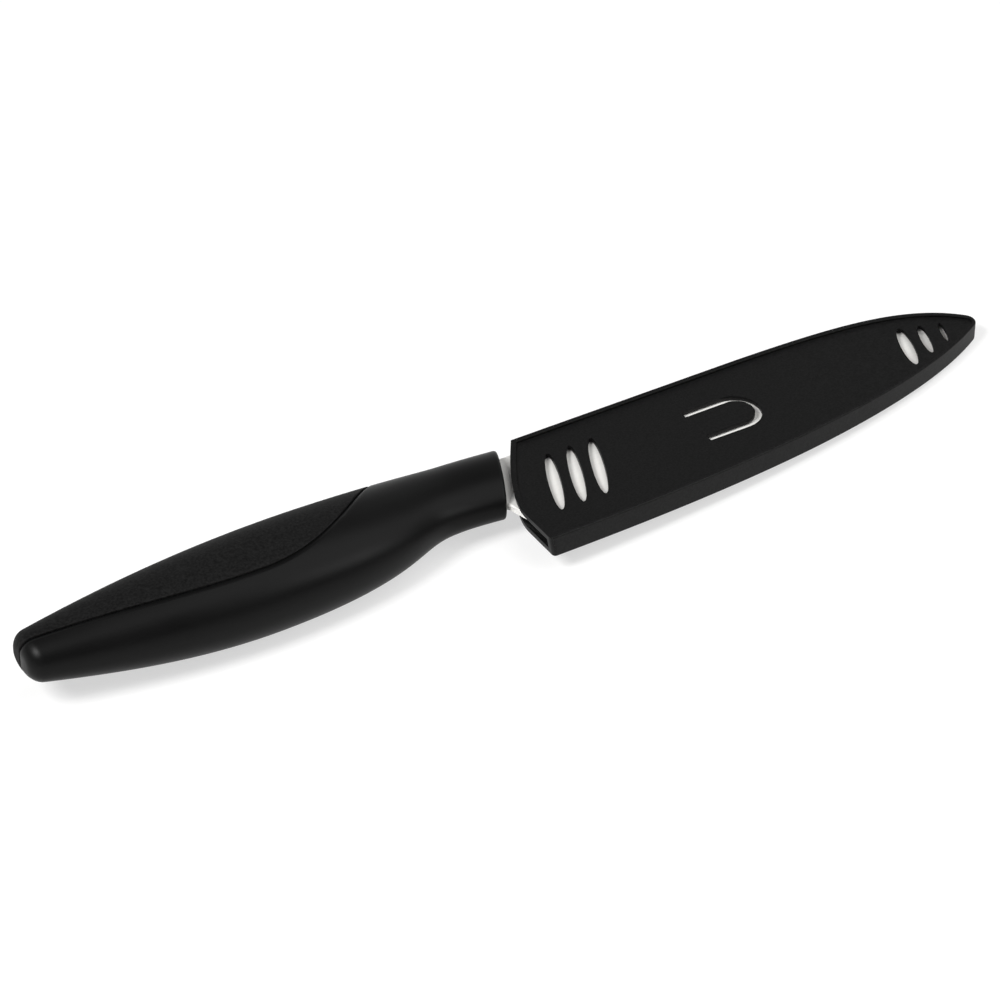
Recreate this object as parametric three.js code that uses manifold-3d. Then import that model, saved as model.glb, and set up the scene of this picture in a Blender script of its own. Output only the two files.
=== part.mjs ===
// A ceramic chef knife lying on its side in its blade guard.
// Millimetres. X runs from the butt to the tip, Y from the cutting edge to the spine, Z is the thickness.
// While it is drawn, zero is the guard's heel corner in X, the tip's level in Y and the blade's middle in Z.
import * as THREE from 'three';
import { mergeVertices } from 'three/addons/utils/BufferGeometryUtils.js';
import Module from 'manifold-3d';

const wasm = await Module();
wasm.setup();

// Blade: a flat zirconia blank, ground along its edge
const bladeThickness = 1.8;
const bladeSpineY = 12.7;
const bladeHeelX = 2.6;
const bladeHeelY = -18.2;
const bladeTipX = 128.7;
const bladeTipY = 1.1;
const bladeTipFlat = 0.3;
const bladeTipThickness = 0.9;
const bladeTaperX = 85;
const spineDropX = 67;
const grindWidth = 7.5;
const grindShare = 0.6;
const edgeThickness = 0.2;

// Neck and tang: the stub of the blank that the handle holds
const neckBottomY = -2.4;
const neckDepth = 5;
const choilReach = 2.4;
const tangLength = 46;
const tangWidth = 10.5;
const tangBottomY = 0.4;
const tangNotchRadius = 2;
const tangNotchX = -24;

// Handle moulding, from the butt to the collar
const buttX = -116;
const buttSpineY = 10.4;
const buttWidth = 11.7;
const buttThickness = 9.5;
const buttRound = 3.1;
const crownX = -43;
const crownY = 16.2;
const swellX = -60;
const handleWidth = 27.1;
const handleThickness = 19.6;
const notchX = -13;
const notchWidth = 19.3;
const collarStartX = -7.5;
const collarThickness = 11.2;
const collarSpineY = 14.2;
const collarWidth = 19.4;
const collarFrontX = 1.2;
const collarRake = 0.41;
const collarRound = 0.7;
const sectionPower = 2.3;

// Soft grip over the handle's back, anchored by bridges through the moulding's core
const seamButtY = 4.6;
const seamLowX = -62;
const seamLowY = -4.3;
const seamEndX = -20.8;
const gripThickness = 2.6;
const anchorRadius = 2.2;
const anchorCount = 3;
const anchorFirstX = -92;
const anchorPitch = 18;
const anchorRise = 9;

// Blade guard: a flat pocket with a recessed front face
const bladeRoom = 0.6;
const guardWall = 2.1;
const guardThickness = 5.5;
const guardTipThickness = 4.7;
const guardTaperX = 73;
const mouthSpineX = 12.2;
const mouthHeelX = 0.3;
const mouthLean = 1;
const heelRound = 1.2;
const mouthRake = 0.66;
const mouthBendY = -10.5;
const rimDepth = 0.45;
const rimAtSpine = 1.5;
const rimAtEdge = 0.7;
const guardChamfer = 0.4;

// Three slanted windows at each end of the guard's front face
const windowCount = 3;
const mouthWindowLength = 21.1;
const mouthWindowWidth = 2.95;
const mouthWindowTilt = 23;
const mouthWindowX = 12.65;
const mouthWindowY = -2.7;
const mouthWindowPitch = 5.74;
const tipWindowLength = 14.9;
const tipWindowWidth = 3.15;
const tipWindowTilt = 19.8;
const tipWindowX = 111.3;
const tipWindowY = -0.2;
const tipWindowPitch = 5.4;
const tipWindowRise = 0.27;
const tipWindowShorter = 3.75;
const tipWindowThinner = 0.95;

// Spring tongue in the guard's front face, rooted towards the mouth
const tongueRootX = 51.1;
const tongueLength = 15.45;
const tongueWidth = 8.4;
const tongueY = -1.54;
const tongueSlot = 2.1;
const tongueEndSlot = 1.5;

// Fits
const seatGap = 0.3;
const rootGap = 0.05;
const bondThickness = 0.6;
const overrun = 8;

// Facets
const curveSteps = 14;
const sectionSides = 36;
const handleSteps = 22;
const roundSteps = 5;
const windowSides = 24;
const tipCrowding = 1.5;
const halvings = 40;
const straightTurn = 0.02;

// Curves and outlines

const at = (x, y) => new THREE.Vector2(x, y);

// A smooth run between two points: each end keeps its slope for a share of the distance along X
function run(from, slopeFrom, shareFrom, to, slopeTo, shareTo) {
  const reachFrom = shareFrom * (to.x - from.x);
  const reachTo = shareTo * (to.x - from.x);
  return new THREE.CubicBezierCurve(
    from,
    at(from.x + reachFrom, from.y + slopeFrom * reachFrom),
    at(to.x - reachTo, to.y - slopeTo * reachTo),
    to,
  );
}

// The height of a row of runs at one x
function heightAt(runs, x) {
  const curve = runs.find((piece) => x <= piece.v3.x) ?? runs[runs.length - 1];
  let low = 0;
  let high = 1;
  for (let halving = 0; halving < halvings; halving += 1) {
    const middle = (low + high) / 2;
    if (curve.getPoint(middle).x < x) low = middle;
    else high = middle;
  }
  return curve.getPoint(low).y;
}

// Each edge of a counter-clockwise outline moves out by the distance that belongs to its normal
function offsetOutline(points, distanceFor) {
  const count = points.length;
  const normals = points.map((point, i) => {
    const next = points[(i + 1) % count];
    return at(next.y - point.y, point.x - next.x).normalize();
  });
  return points.map((point, i) => {
    const before = normals[(i + count - 1) % count];
    const after = normals[i];
    const first = distanceFor(before);
    const second = distanceFor(after);
    const turn = before.cross(after);
    const straight = Math.abs(turn) < straightTurn;
    if (straight) return point.clone().addScaledVector(after, (first + second) / 2);
    const moveX = (first * after.y - second * before.y) / turn;
    const moveY = (second * before.x - first * after.x) / turn;
    return at(point.x + moveX, point.y + moveY);
  });
}

// Solids

function solidOf(geometry) {
  geometry.deleteAttribute('normal');
  geometry.deleteAttribute('uv');
  const merged = mergeVertices(geometry);
  return new wasm.Manifold(new wasm.Mesh({
    numProp: 3,
    vertProperties: new Float32Array(merged.attributes.position.array),
    triVerts: new Uint32Array(merged.index.array),
  }));
}

function skin(points, triangles) {
  const geometry = new THREE.BufferGeometry().setFromPoints(points);
  geometry.setIndex(triangles);
  return solidOf(geometry);
}

function prism(outline, low, high) {
  const shape = new THREE.Shape(outline);
  const geometry = new THREE.ExtrudeGeometry(shape, { depth: high - low, bevelEnabled: false });
  return solidOf(geometry.translate(0, 0, low));
}

// The sides between rings of equal count, each ring counter-clockwise seen from the far end
function sideTriangles(ringCount, sides) {
  const triangles = [];
  for (let ring = 0; ring + 1 < ringCount; ring += 1) {
    for (let side = 0; side < sides; side += 1) {
      const a = ring * sides + side;
      const b = ring * sides + ((side + 1) % sides);
      triangles.push(a, b, b + sides, a, b + sides, a + sides);
    }
  }
  return triangles;
}

// A closed loft along X, with a fan over each end
function loft(rings) {
  const sides = rings[0].length;
  const points = rings.flat();
  const triangles = sideTriangles(rings.length, sides);
  const lastRing = (rings.length - 1) * sides;
  const middleOf = (ring) => ring
    .reduce((sum, point) => sum.add(point), new THREE.Vector3())
    .divideScalar(sides);
  const firstMiddle = points.push(middleOf(rings[0])) - 1;
  const lastMiddle = points.push(middleOf(rings[rings.length - 1])) - 1;
  for (let side = 0; side < sides; side += 1) {
    const next = (side + 1) % sides;
    triangles.push(next, side, firstMiddle, lastRing + side, lastRing + next, lastMiddle);
  }
  return skin(points, triangles);
}

// Blade

const edgeRuns = [run(at(bladeHeelX, bladeHeelY), 0, 0.37, at(bladeTipX, bladeTipY), 0.58, 0.214)];
const spineRuns = [run(at(spineDropX, bladeSpineY), 0, 0.537, at(bladeTipX, bladeTipY), -1.05, 0.165)];

// The blank thins towards the tip
function bladeHalf(x) {
  const share = Math.max(0, x - bladeTaperX) / (bladeTipX - bladeTaperX);
  return THREE.MathUtils.lerp(bladeThickness, bladeTipThickness, share) / 2;
}

// A section across the blade: flat sides, then a grind down to the edge
function bladeRing(x) {
  const spine = x < spineDropX ? bladeSpineY : heightAt(spineRuns, x);
  const edge = heightAt(edgeRuns, x);
  const grind = edge + Math.min(grindWidth, grindShare * (spine - edge));
  const half = bladeHalf(x);
  const thin = edgeThickness / 2;
  const front = [[spine, half], [grind, half], [edge, thin]];
  const back = [[edge, -thin], [grind, -half], [spine, -half]];
  return [...front, ...back].map(([y, z]) => new THREE.Vector3(x, y, z));
}

const tangTopY = tangBottomY + tangWidth;

// A half-round notch in one long edge of the tang, which keys the adhesive
function tangNotch(edgeY, startAngle) {
  const radius = tangNotchRadius;
  const endAngle = Math.PI - startAngle;
  const arc = new THREE.EllipseCurve(tangNotchX, edgeY, radius, radius, startAngle, endAngle, true);
  return arc.getPoints(2 * roundSteps);
}

// The tang alone, open for the bond: from the neck's shoulder to its end
function tangOutline() {
  return [
    at(-neckDepth, tangTopY),
    ...tangNotch(tangTopY, 0),
    at(-tangLength, tangTopY),
    at(-tangLength, tangBottomY),
    ...tangNotch(tangBottomY, Math.PI),
    at(-neckDepth, tangBottomY),
  ];
}

// The neck, which shows between the handle and the guard, with the choil's curve down to the heel
function neckOutline() {
  const choilEndY = bladeHeelY + grindWidth;
  const choilX = bladeHeelX - choilReach;
  const choilDrop = neckBottomY - choilEndY;
  const choil = new THREE.EllipseCurve(choilX, choilEndY, choilReach, choilDrop, Math.PI / 2, 0, true);
  return [
    at(bladeHeelX + overrun, choilEndY),
    at(bladeHeelX + overrun, bladeSpineY),
    at(-neckDepth, bladeSpineY),
    at(-neckDepth, neckBottomY),
    ...choil.getPoints(curveSteps),
  ];
}

function buildBlade() {
  const half = bladeThickness / 2;
  const steps = 2 * curveSteps;
  const rings = [];
  for (let step = 0; step <= steps; step += 1) {
    const share = 1 - (1 - step / steps) ** tipCrowding;
    rings.push(bladeRing(THREE.MathUtils.lerp(bladeHeelX, bladeTipX - bladeTipFlat, share)));
  }
  const stub = [...neckOutline().slice(0, 3), ...tangOutline(), ...neckOutline().slice(3)];
  return loft(rings).add(prism(stub, -half, half));
}

// Handle

const handleEndX = collarFrontX + collarRake * crownY;
const buttBellyY = buttSpineY - buttWidth;
const swellBellyY = crownY - handleWidth;
const notchBellyY = crownY - notchWidth;
const collarBellyY = collarSpineY - collarWidth;

const backRuns = [
  run(at(buttX, buttSpineY), 0.16, 0.3, at(crownX, crownY), 0, 0.38),
  run(at(crownX, crownY), 0, 0.35, at(handleEndX, collarSpineY), -0.13, 0.35),
];
const bellyRuns = [
  run(at(buttX, buttBellyY), -0.28, 0.35, at(swellX, swellBellyY), 0, 0.34),
  run(at(swellX, swellBellyY), 0, 0.76, at(notchX, notchBellyY), 0, 0.2),
  run(at(notchX, notchBellyY), 0, 0.35, at(handleEndX, collarBellyY), -0.12, 0.35),
];
const thicknessRuns = [
  run(at(buttX, buttThickness), 0.31, 0.31, at(swellX, handleThickness), 0, 0.38),
  run(at(swellX, handleThickness), 0, 0.6, at(collarStartX, collarThickness), 0, 0.22),
  run(at(collarStartX, collarThickness), 0, 0.35, at(handleEndX, collarThickness), 0, 0.35),
];

// A rounded section across the handle, drawn in by an inset all round
function handleSection(x, angle, inset) {
  const back = heightAt(backRuns, x);
  const belly = heightAt(bellyRuns, x);
  const halfWidth = (back - belly) / 2 - inset;
  const halfThickness = heightAt(thicknessRuns, x) / 2 - inset;
  const rounded = (value) => Math.sign(value) * Math.abs(value) ** (2 / sectionPower);
  const y = (back + belly) / 2 + halfWidth * rounded(Math.cos(angle));
  return new THREE.Vector3(x, y, halfThickness * rounded(Math.sin(angle)));
}

// Sections stand square to the handle and lean over to the collar's raked front
function handleRing(x, inset) {
  const lean = collarRake * Math.max(0, (x - notchX) / (collarFrontX - notchX));
  return Array.from({ length: sectionSides }, (_, side) => {
    const angle = (2 * Math.PI * side) / sectionSides;
    const upright = handleSection(x, angle, inset);
    return handleSection(x + lean * upright.y, angle, inset);
  });
}

// The whole handle's form, or the form that lies a given depth below its surface
function handleForm(inset) {
  const startX = buttX + inset;
  const buttEase = Math.max(buttRound - inset, collarRound);
  const rings = [];
  const addRounded = (x, radius, angle) => rings.push(
    handleRing(x + radius * Math.sin(angle), inset + radius * (1 - Math.cos(angle))),
  );
  for (let step = 0; step < roundSteps; step += 1) {
    addRounded(startX + buttEase, buttEase, (Math.PI / 2) * (step / roundSteps - 1));
  }
  for (let step = 0; step < handleSteps; step += 1) {
    const x = THREE.MathUtils.lerp(startX + buttEase, collarFrontX - collarRound, step / handleSteps);
    rings.push(handleRing(x, inset));
  }
  for (let step = 0; step <= roundSteps; step += 1) {
    addRounded(collarFrontX - collarRound, collarRound, (Math.PI / 2) * (step / roundSteps));
  }
  return loft(rings);
}

// All that lies above the seam between moulding and grip, seen from the side
function aboveSeam(gap) {
  const high = crownY + handleWidth;
  const startX = buttX - overrun;
  const seam = [
    run(at(buttX, seamButtY), -0.19, 0.39, at(seamLowX, seamLowY), 0, 0.32),
    run(at(seamLowX, seamLowY), 0, 0.35, at(seamEndX, crownY + gripThickness), 0.97, 0.4),
  ].flatMap((curve) => curve.getPoints(curveSteps).slice(1));
  const outline = [
    at(startX, seamButtY),
    at(buttX, seamButtY),
    ...seam,
    at(seamEndX, high),
    at(startX, high),
  ];
  return prism(offsetOutline(outline, () => -gap), -handleWidth, handleWidth);
}

// Bridges of the grip's rubber through the core, from side to side
function anchors(radius, length) {
  const bars = Array.from({ length: anchorCount }, (_, i) => {
    const x = anchorFirstX + i * anchorPitch;
    const y = heightAt(backRuns, x) - anchorRise;
    const bar = new THREE.CylinderGeometry(radius, radius, length, 4 * roundSteps);
    return solidOf(bar.rotateX(Math.PI / 2).translate(x, y, 0));
  });
  return bars.reduce((sum, bar) => sum.add(bar));
}

// The tang without its notches
function plainTang() {
  return [
    at(-neckDepth, tangBottomY),
    at(-neckDepth, tangTopY),
    at(-tangLength, tangTopY),
    at(-tangLength, tangBottomY),
  ];
}

// The tang's pocket, with room for the bond, and the neck's close slot in the collar
function tangPocket() {
  const room = bondThickness + 2 * seatGap;
  const half = bladeThickness / 2;
  const pocket = prism(offsetOutline(plainTang(), () => room), -half - room, half + room);
  const slot = prism(offsetOutline(neckOutline(), () => seatGap), -half - seatGap, half + seatGap);
  return pocket.add(slot);
}

const handleOuter = handleForm(0);

function buildHandle() {
  const gripSpace = aboveSeam(0).subtract(handleForm(gripThickness + seatGap));
  return handleOuter
    .subtract(gripSpace)
    .subtract(tangPocket())
    .subtract(anchors(anchorRadius + seatGap, 2 * handleThickness));
}

function buildGrip() {
  const saddle = handleOuter.intersect(aboveSeam(seatGap)).subtract(handleForm(gripThickness));
  const bridges = anchors(anchorRadius, 2 * handleThickness).intersect(handleForm(gripThickness / 2));
  return saddle.add(bridges);
}

// The epoxy sleeve that fills the pocket round the tang
function buildBond() {
  const half = bladeThickness / 2;
  const outside = bondThickness + seatGap;
  const filled = prism(offsetOutline(plainTang(), () => outside), -half - outside, half + outside);
  const shoulder = prism(offsetOutline(neckOutline(), () => seatGap + outside), -handleWidth, handleWidth);
  const hollow = prism(offsetOutline(tangOutline(), () => seatGap), -half - seatGap, half + seatGap);
  return filled.subtract(shoulder).subtract(hollow);
}

// Guard

// The blade's outline from the heel round the tip to the neck, moved out by a distance, open at the mouth
function bladeSides(distance, heelX, spineX) {
  const [edge] = edgeRuns;
  const [spine] = spineRuns;
  const outward = (tangent) => at(tangent.y, -tangent.x);
  const moved = (curve, t, side) =>
    curve.getPoint(t).addScaledVector(outward(curve.getTangent(t)), side * distance);
  const shares = Array.from({ length: curveSteps + 1 }, (_, step) => step / curveSteps);
  const startAngle = outward(edge.getTangent(1)).angle() - 2 * Math.PI;
  const endAngle = outward(spine.getTangent(1)).negate().angle();
  const nose = new THREE.EllipseCurve(bladeTipX, bladeTipY, distance, distance, startAngle, endAngle);
  return [
    at(heelX, bladeHeelY - distance),
    ...shares.slice(0, -1).map((t) => moved(edge, t, 1)),
    ...nose.getPoints(roundSteps),
    ...shares.slice(0, -1).reverse().map((t) => moved(spine, t, -1)),
    at(spineX, bladeSpineY + distance),
  ];
}

// The line of the mouth, from the rounded heel up to the spine
function mouthLine() {
  const lowY = bladeHeelY - bladeRoom - guardWall;
  const highY = bladeSpineY + bladeRoom + guardWall;
  const heel = new THREE.EllipseCurve(
    mouthHeelX + heelRound, lowY + heelRound, heelRound, heelRound, 1.5 * Math.PI, Math.PI, true,
  );
  const sweep = run(at(mouthBendY, mouthHeelX), 0, 0.25, at(highY, mouthSpineX), mouthRake, 0.39);
  const swept = sweep.getPoints(2 * roundSteps).map((point) => at(point.y, point.x));
  return [...heel.getPoints(roundSteps), ...swept];
}

// The guard's outline in plan: raked at the spine, square at the heel
function guardOutline() {
  const mouth = mouthLine();
  const sides = bladeSides(bladeRoom + guardWall, mouth[0].x, mouthSpineX);
  return [...sides, ...mouth.slice(1, -1).reverse()];
}

// All that lies in front of the mouth, which leans back from the front face to the back one
function aheadOfMouth() {
  const mouth = mouthLine();
  const first = mouth[0];
  const last = mouth[mouth.length - 1];
  const outline = [
    at(-2 * overrun, first.y - overrun),
    at(first.x, first.y - overrun),
    ...mouth,
    at(last.x, last.y + overrun),
    at(-2 * overrun, last.y + overrun),
  ];
  const shape = new THREE.Shape(outline);
  const wedge = new THREE.ExtrudeGeometry(shape, { depth: 2 * guardThickness, bevelEnabled: false });
  const lean = mouthLean / guardThickness;
  wedge.translate(0, 0, -guardThickness - guardThickness / 2);
  wedge.applyMatrix4(new THREE.Matrix4().makeShear(0, 0, 0, 0, -lean, 0));
  return solidOf(wedge.translate(0, 0, guardThickness / 2));
}

// The guard's faces draw together from the taper's start to the tip
function taperAt(x) {
  const share = Math.max(0, x - guardTaperX) / (bladeTipX + bladeRoom + guardWall - guardTaperX);
  return THREE.MathUtils.lerp(1, guardTipThickness / guardThickness, share);
}

function withFold(outline) {
  return outline.flatMap((point, i) => {
    const next = outline[(i + 1) % outline.length];
    const share = (guardTaperX - point.x) / (next.x - point.x);
    const crosses = share > 0 && share < 1;
    return crosses ? [point, at(guardTaperX, THREE.MathUtils.lerp(point.y, next.y, share))] : [point];
  });
}

// A plate with the given outline, built up in layers, whose flat faces fold where the taper starts
function foldedPlate(plainOutline, layers) {
  const outline = withFold(plainOutline);
  const sides = outline.length;
  const points = layers.flatMap(({ inset, z }) => offsetOutline(outline, () => -inset).map(
    (point, i) => new THREE.Vector3(point.x, point.y, z * taperAt(outline[i].x)),
  ));
  const triangles = sideTriangles(layers.length, sides);
  const top = (layers.length - 1) * sides;
  const indices = outline.map((_, i) => i);
  const flat = indices.filter((i) => outline[i].x <= guardTaperX);
  const tapered = indices.filter((i) => outline[i].x >= guardTaperX);
  for (const face of [flat, tapered]) {
    for (const corners of THREE.ShapeUtils.triangulateShape(face.map((i) => outline[i]), [])) {
      const [a, b, c] = corners.map((corner) => face[corner]);
      triangles.push(c, b, a, top + a, top + b, top + c);
    }
  }
  return skin(points, triangles);
}

// Slanted oval windows in a row, each one a step shorter and thinner than the last
function windowRow({ x, y, pitch, rise, tilt, length, width, shorter, thinner }) {
  const cuts = Array.from({ length: windowCount }, (_, i) => {
    const oval = new THREE.EllipseCurve(
      x + i * pitch, y + i * rise, (width - i * thinner) / 2, (length - i * shorter) / 2,
      0, 2 * Math.PI, false, THREE.MathUtils.degToRad(-tilt),
    );
    return prism(oval.getPoints(windowSides).slice(1), 0, guardThickness);
  });
  return cuts.reduce((sum, cut) => sum.add(cut));
}

// A strip with one round end, for the tongue and for the slot round it
function tongueOutline(rootX, endX, halfWidth) {
  const end = new THREE.EllipseCurve(
    endX - halfWidth, tongueY, halfWidth, halfWidth, -Math.PI / 2, Math.PI / 2,
  );
  return [at(rootX, tongueY - halfWidth), ...end.getPoints(3 * roundSteps), at(rootX, tongueY + halfWidth)];
}

const tongueEndX = tongueRootX + tongueLength;
const cavityHalf = bladeThickness / 2 + seatGap;
const plateTop = guardThickness / 2 - rimDepth;

function buildGuard() {
  const half = guardThickness / 2;
  const shell = foldedPlate(bladeSides(bladeRoom + guardWall, -overrun, -overrun), [
    { inset: guardChamfer, z: -half },
    { inset: 0, z: -half + guardChamfer },
    { inset: 0, z: half - guardChamfer },
    { inset: guardChamfer, z: half },
  ]);
  const rimFor = (normal) => -THREE.MathUtils.lerp(rimAtEdge, rimAtSpine, (1 + normal.y) / 2);
  const recess = foldedPlate(offsetOutline(guardOutline(), rimFor), [
    { inset: 0, z: plateTop },
    { inset: 0, z: guardThickness },
  ]);
  const cavity = prism(bladeSides(bladeRoom, -2 * overrun, -2 * overrun), -cavityHalf, cavityHalf);
  const mouthWindows = windowRow({
    x: mouthWindowX,
    y: mouthWindowY,
    pitch: mouthWindowPitch,
    rise: 0,
    tilt: mouthWindowTilt,
    length: mouthWindowLength,
    width: mouthWindowWidth,
    shorter: 0,
    thinner: 0,
  });
  const tipWindows = windowRow({
    x: tipWindowX,
    y: tipWindowY,
    pitch: tipWindowPitch,
    rise: tipWindowRise,
    tilt: tipWindowTilt,
    length: tipWindowLength,
    width: tipWindowWidth,
    shorter: tipWindowShorter,
    thinner: tipWindowThinner,
  });
  const slotOutline = tongueOutline(tongueRootX, tongueEndX + tongueEndSlot, tongueWidth / 2 + tongueSlot);
  const slot = prism(slotOutline, 0, guardThickness);
  const openings = [aheadOfMouth(), recess, cavity, mouthWindows, tipWindows, slot];
  return openings.reduce((guard, opening) => guard.subtract(opening), shell);
}

function buildTongue() {
  return prism(tongueOutline(tongueRootX + rootGap, tongueEndX, tongueWidth / 2), cavityHalf, plateTop);
}

// Assembly

function piece(name, solid, colour, roughness) {
  const mesh = solid.getMesh();
  const geometry = new THREE.BufferGeometry();
  geometry.setAttribute('position', new THREE.BufferAttribute(mesh.vertProperties, mesh.numProp));
  geometry.setIndex(new THREE.BufferAttribute(mesh.triVerts, 1));
  geometry.computeVertexNormals();
  const material = new THREE.MeshStandardMaterial({ color: colour, roughness, metalness: 0 });
  const node = new THREE.Mesh(geometry, material);
  node.name = name;
  return node;
}

const knife = new THREE.Group();
knife.add(
  piece('blade', buildBlade(), '#f1f0ec', 0.25),
  piece('tang_bond', buildBond(), '#d9d3bd', 0.5),
  piece('handle_body', buildHandle(), '#232326', 0.42),
  piece('grip_insert', buildGrip(), '#1b1b1d', 0.8),
  piece('blade_guard', buildGuard(), '#202022', 0.5),
  piece('guard_tongue', buildTongue(), '#202022', 0.5),
);

// The finished part rests on Z = 0 with its middle over the origin
const box = new THREE.Box3().setFromObject(knife);
const middle = box.getCenter(new THREE.Vector3());
knife.position.set(-middle.x, -middle.y, -box.min.z);

const part = new THREE.Group();
part.add(knife);

export default part;
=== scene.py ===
import math

import bmesh
import bpy
import numpy as np
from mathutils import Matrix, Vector


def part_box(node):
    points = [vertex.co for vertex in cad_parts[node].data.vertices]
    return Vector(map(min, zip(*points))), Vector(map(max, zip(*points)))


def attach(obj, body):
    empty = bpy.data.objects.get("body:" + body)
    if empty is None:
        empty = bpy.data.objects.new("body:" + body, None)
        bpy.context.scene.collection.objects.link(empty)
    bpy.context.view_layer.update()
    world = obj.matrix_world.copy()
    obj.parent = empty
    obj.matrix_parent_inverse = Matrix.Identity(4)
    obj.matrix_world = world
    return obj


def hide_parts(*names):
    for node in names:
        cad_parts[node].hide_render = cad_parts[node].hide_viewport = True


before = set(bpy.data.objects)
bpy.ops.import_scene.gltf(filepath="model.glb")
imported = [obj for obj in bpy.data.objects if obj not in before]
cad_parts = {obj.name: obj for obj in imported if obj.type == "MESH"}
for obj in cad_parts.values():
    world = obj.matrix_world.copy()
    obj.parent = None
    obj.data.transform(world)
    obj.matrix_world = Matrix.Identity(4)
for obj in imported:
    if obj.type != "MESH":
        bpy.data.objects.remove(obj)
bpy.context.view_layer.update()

# everything is drawn in millimetres about one zero, which lies in the blade's middle plane,
# a tang's length ahead of the tang's end and this far below the spine
drawing = {"tangLength": 46, "spine": 12.7}
bladeLow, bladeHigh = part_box("blade")
drawingZero = np.array([bladeLow.x + drawing["tangLength"] / 1000, bladeHigh.y - drawing["spine"] / 1000,
                        (bladeLow.z + bladeHigh.z) / 2])
print("frame loaded, drawing zero at", [round(float(v), 5) for v in drawingZero])


def inMetres(points):
    return np.asarray(points, dtype=float) / 1000 + drawingZero


# camera first: the photograph's view of the knife lying on its side
cameraView = {"azimuth": -31.3, "elevation": 36.7, "distance": 0.90725, "lens": 146.71, "sensor": 36,
              "lift": 0.0007, "clipStart": 0.01}
turn, rise = math.radians(cameraView["azimuth"]), math.radians(cameraView["elevation"])
backwards = Vector((math.sin(turn) * math.cos(rise), -math.cos(turn) * math.cos(rise), math.sin(rise)))
cameraData = bpy.data.cameras.new("photoCamera")
cameraData.lens = cameraView["lens"]
cameraData.sensor_width = cameraView["sensor"]
cameraData.shift_y = cameraView["lift"]
cameraData.clip_start = cameraView["clipStart"]
photoCamera = bpy.data.objects.new("photoCamera", cameraData)
photoCamera.location = Vector(drawingZero) + backwards * cameraView["distance"]
photoCamera.rotation_euler = (-backwards).to_track_quat("-Z", "Y").to_euler()
bpy.context.scene.collection.objects.link(photoCamera)
bpy.context.scene.camera = photoCamera
print("camera set")


# curves shared by the pieces

def softRun(start, leave, end, arrive, steps=90):  # leave, arrive: a slope and the share of the run it pulls
    reach = end[0] - start[0]
    start, end = np.array(start, float), np.array(end, float)
    first = start + leave[1] * reach * np.array([1, leave[0]])
    second = end - arrive[1] * reach * np.array([1, arrive[0]])
    t = np.linspace(0, 1, steps + 1)[:, None]
    return (start * (1 - t) ** 3 + 3 * first * t * (1 - t) ** 2
            + 3 * second * t ** 2 * (1 - t) + end * t ** 3)


def joined(*runs):
    return np.concatenate([runs[0]] + [run[1:] for run in runs[1:]])


def heightOn(curve):
    return lambda x: np.interp(x, curve[:, 0], curve[:, 1])


def movedOut(curve, distance):  # to the right of its direction
    along = np.gradient(curve, axis=0)
    along /= np.linalg.norm(along, axis=1)[:, None]
    return curve + distance * np.stack([along[:, 1], -along[:, 0]], axis=1)


# modelling tools

def deselect():
    bpy.ops.object.select_all(action="DESELECT")


def pick(piece):
    deselect()
    piece.select_set(True)
    bpy.context.view_layer.objects.active = piece


def closeUp(piece, merge=2e-6):  # doubles merged, open ends filled, faces outwards
    pick(piece)
    bpy.ops.object.mode_set(mode="EDIT")
    bpy.ops.mesh.select_all(action="SELECT")
    bpy.ops.mesh.remove_doubles(threshold=merge)
    bpy.ops.mesh.fill_holes(sides=0)
    bpy.ops.mesh.select_all(action="SELECT")
    bpy.ops.mesh.normals_make_consistent(inside=False)
    bpy.ops.object.mode_set(mode="OBJECT")


def wrapGrid(name, rings):  # a grid bent round a row of closed sections
    rings = np.asarray(rings)
    rows, columns = rings.shape[:2]
    deselect()
    bpy.ops.mesh.primitive_grid_add(x_subdivisions=columns - 1, y_subdivisions=rows - 1)
    piece = bpy.context.object
    piece.name = name
    piece.data.vertices.foreach_set("co", inMetres(rings.reshape(-1, 3)).ravel())
    closeUp(piece)
    return piece


def flatPlate(name, outline, low, high, foldX=None):  # foldX: a line across it, where its faces bend later
    deselect()
    bpy.ops.mesh.primitive_circle_add(vertices=len(outline), fill_type="NGON")
    piece = bpy.context.object
    piece.name = name
    corners = np.column_stack([outline, np.full(len(outline), low)])
    piece.data.vertices.foreach_set("co", inMetres(corners).ravel())
    bpy.ops.object.mode_set(mode="EDIT")
    bpy.ops.mesh.select_all(action="SELECT")
    bpy.ops.mesh.extrude_region_move(TRANSFORM_OT_translate={"value": (0, 0, (high - low) / 1000)})
    bpy.ops.mesh.select_all(action="SELECT")
    bpy.ops.mesh.normals_make_consistent(inside=False)
    if foldX is not None:
        bpy.ops.mesh.select_all(action="SELECT")
        bpy.ops.mesh.bisect(plane_co=tuple(inMetres([foldX, 0, 0])), plane_no=(1, 0, 0))
    bpy.ops.object.mode_set(mode="OBJECT")
    return piece


def blockBetween(name, low, high, half):
    outline = [(high[0], low[1]), (high[0], high[1]), (low[0], high[1]), (low[0], low[1])]
    return flatPlate(name, outline, -half, half)


def combine(piece, other, operation):
    pick(piece)
    step = piece.modifiers.new("combine", "BOOLEAN")
    step.operation = operation
    step.solver = "EXACT"
    step.object = other
    bpy.ops.object.modifier_apply(modifier=step.name)
    bpy.data.objects.remove(other, do_unlink=True)


def softEdges(piece, width, segments, angle):
    pick(piece)
    step = piece.modifiers.new("softEdges", "BEVEL")
    step.width = width / 1000
    step.segments = segments
    step.limit_method = "ANGLE"
    step.angle_limit = math.radians(angle)
    step.use_clamp_overlap = False
    bpy.ops.object.modifier_apply(modifier=step.name)


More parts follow.
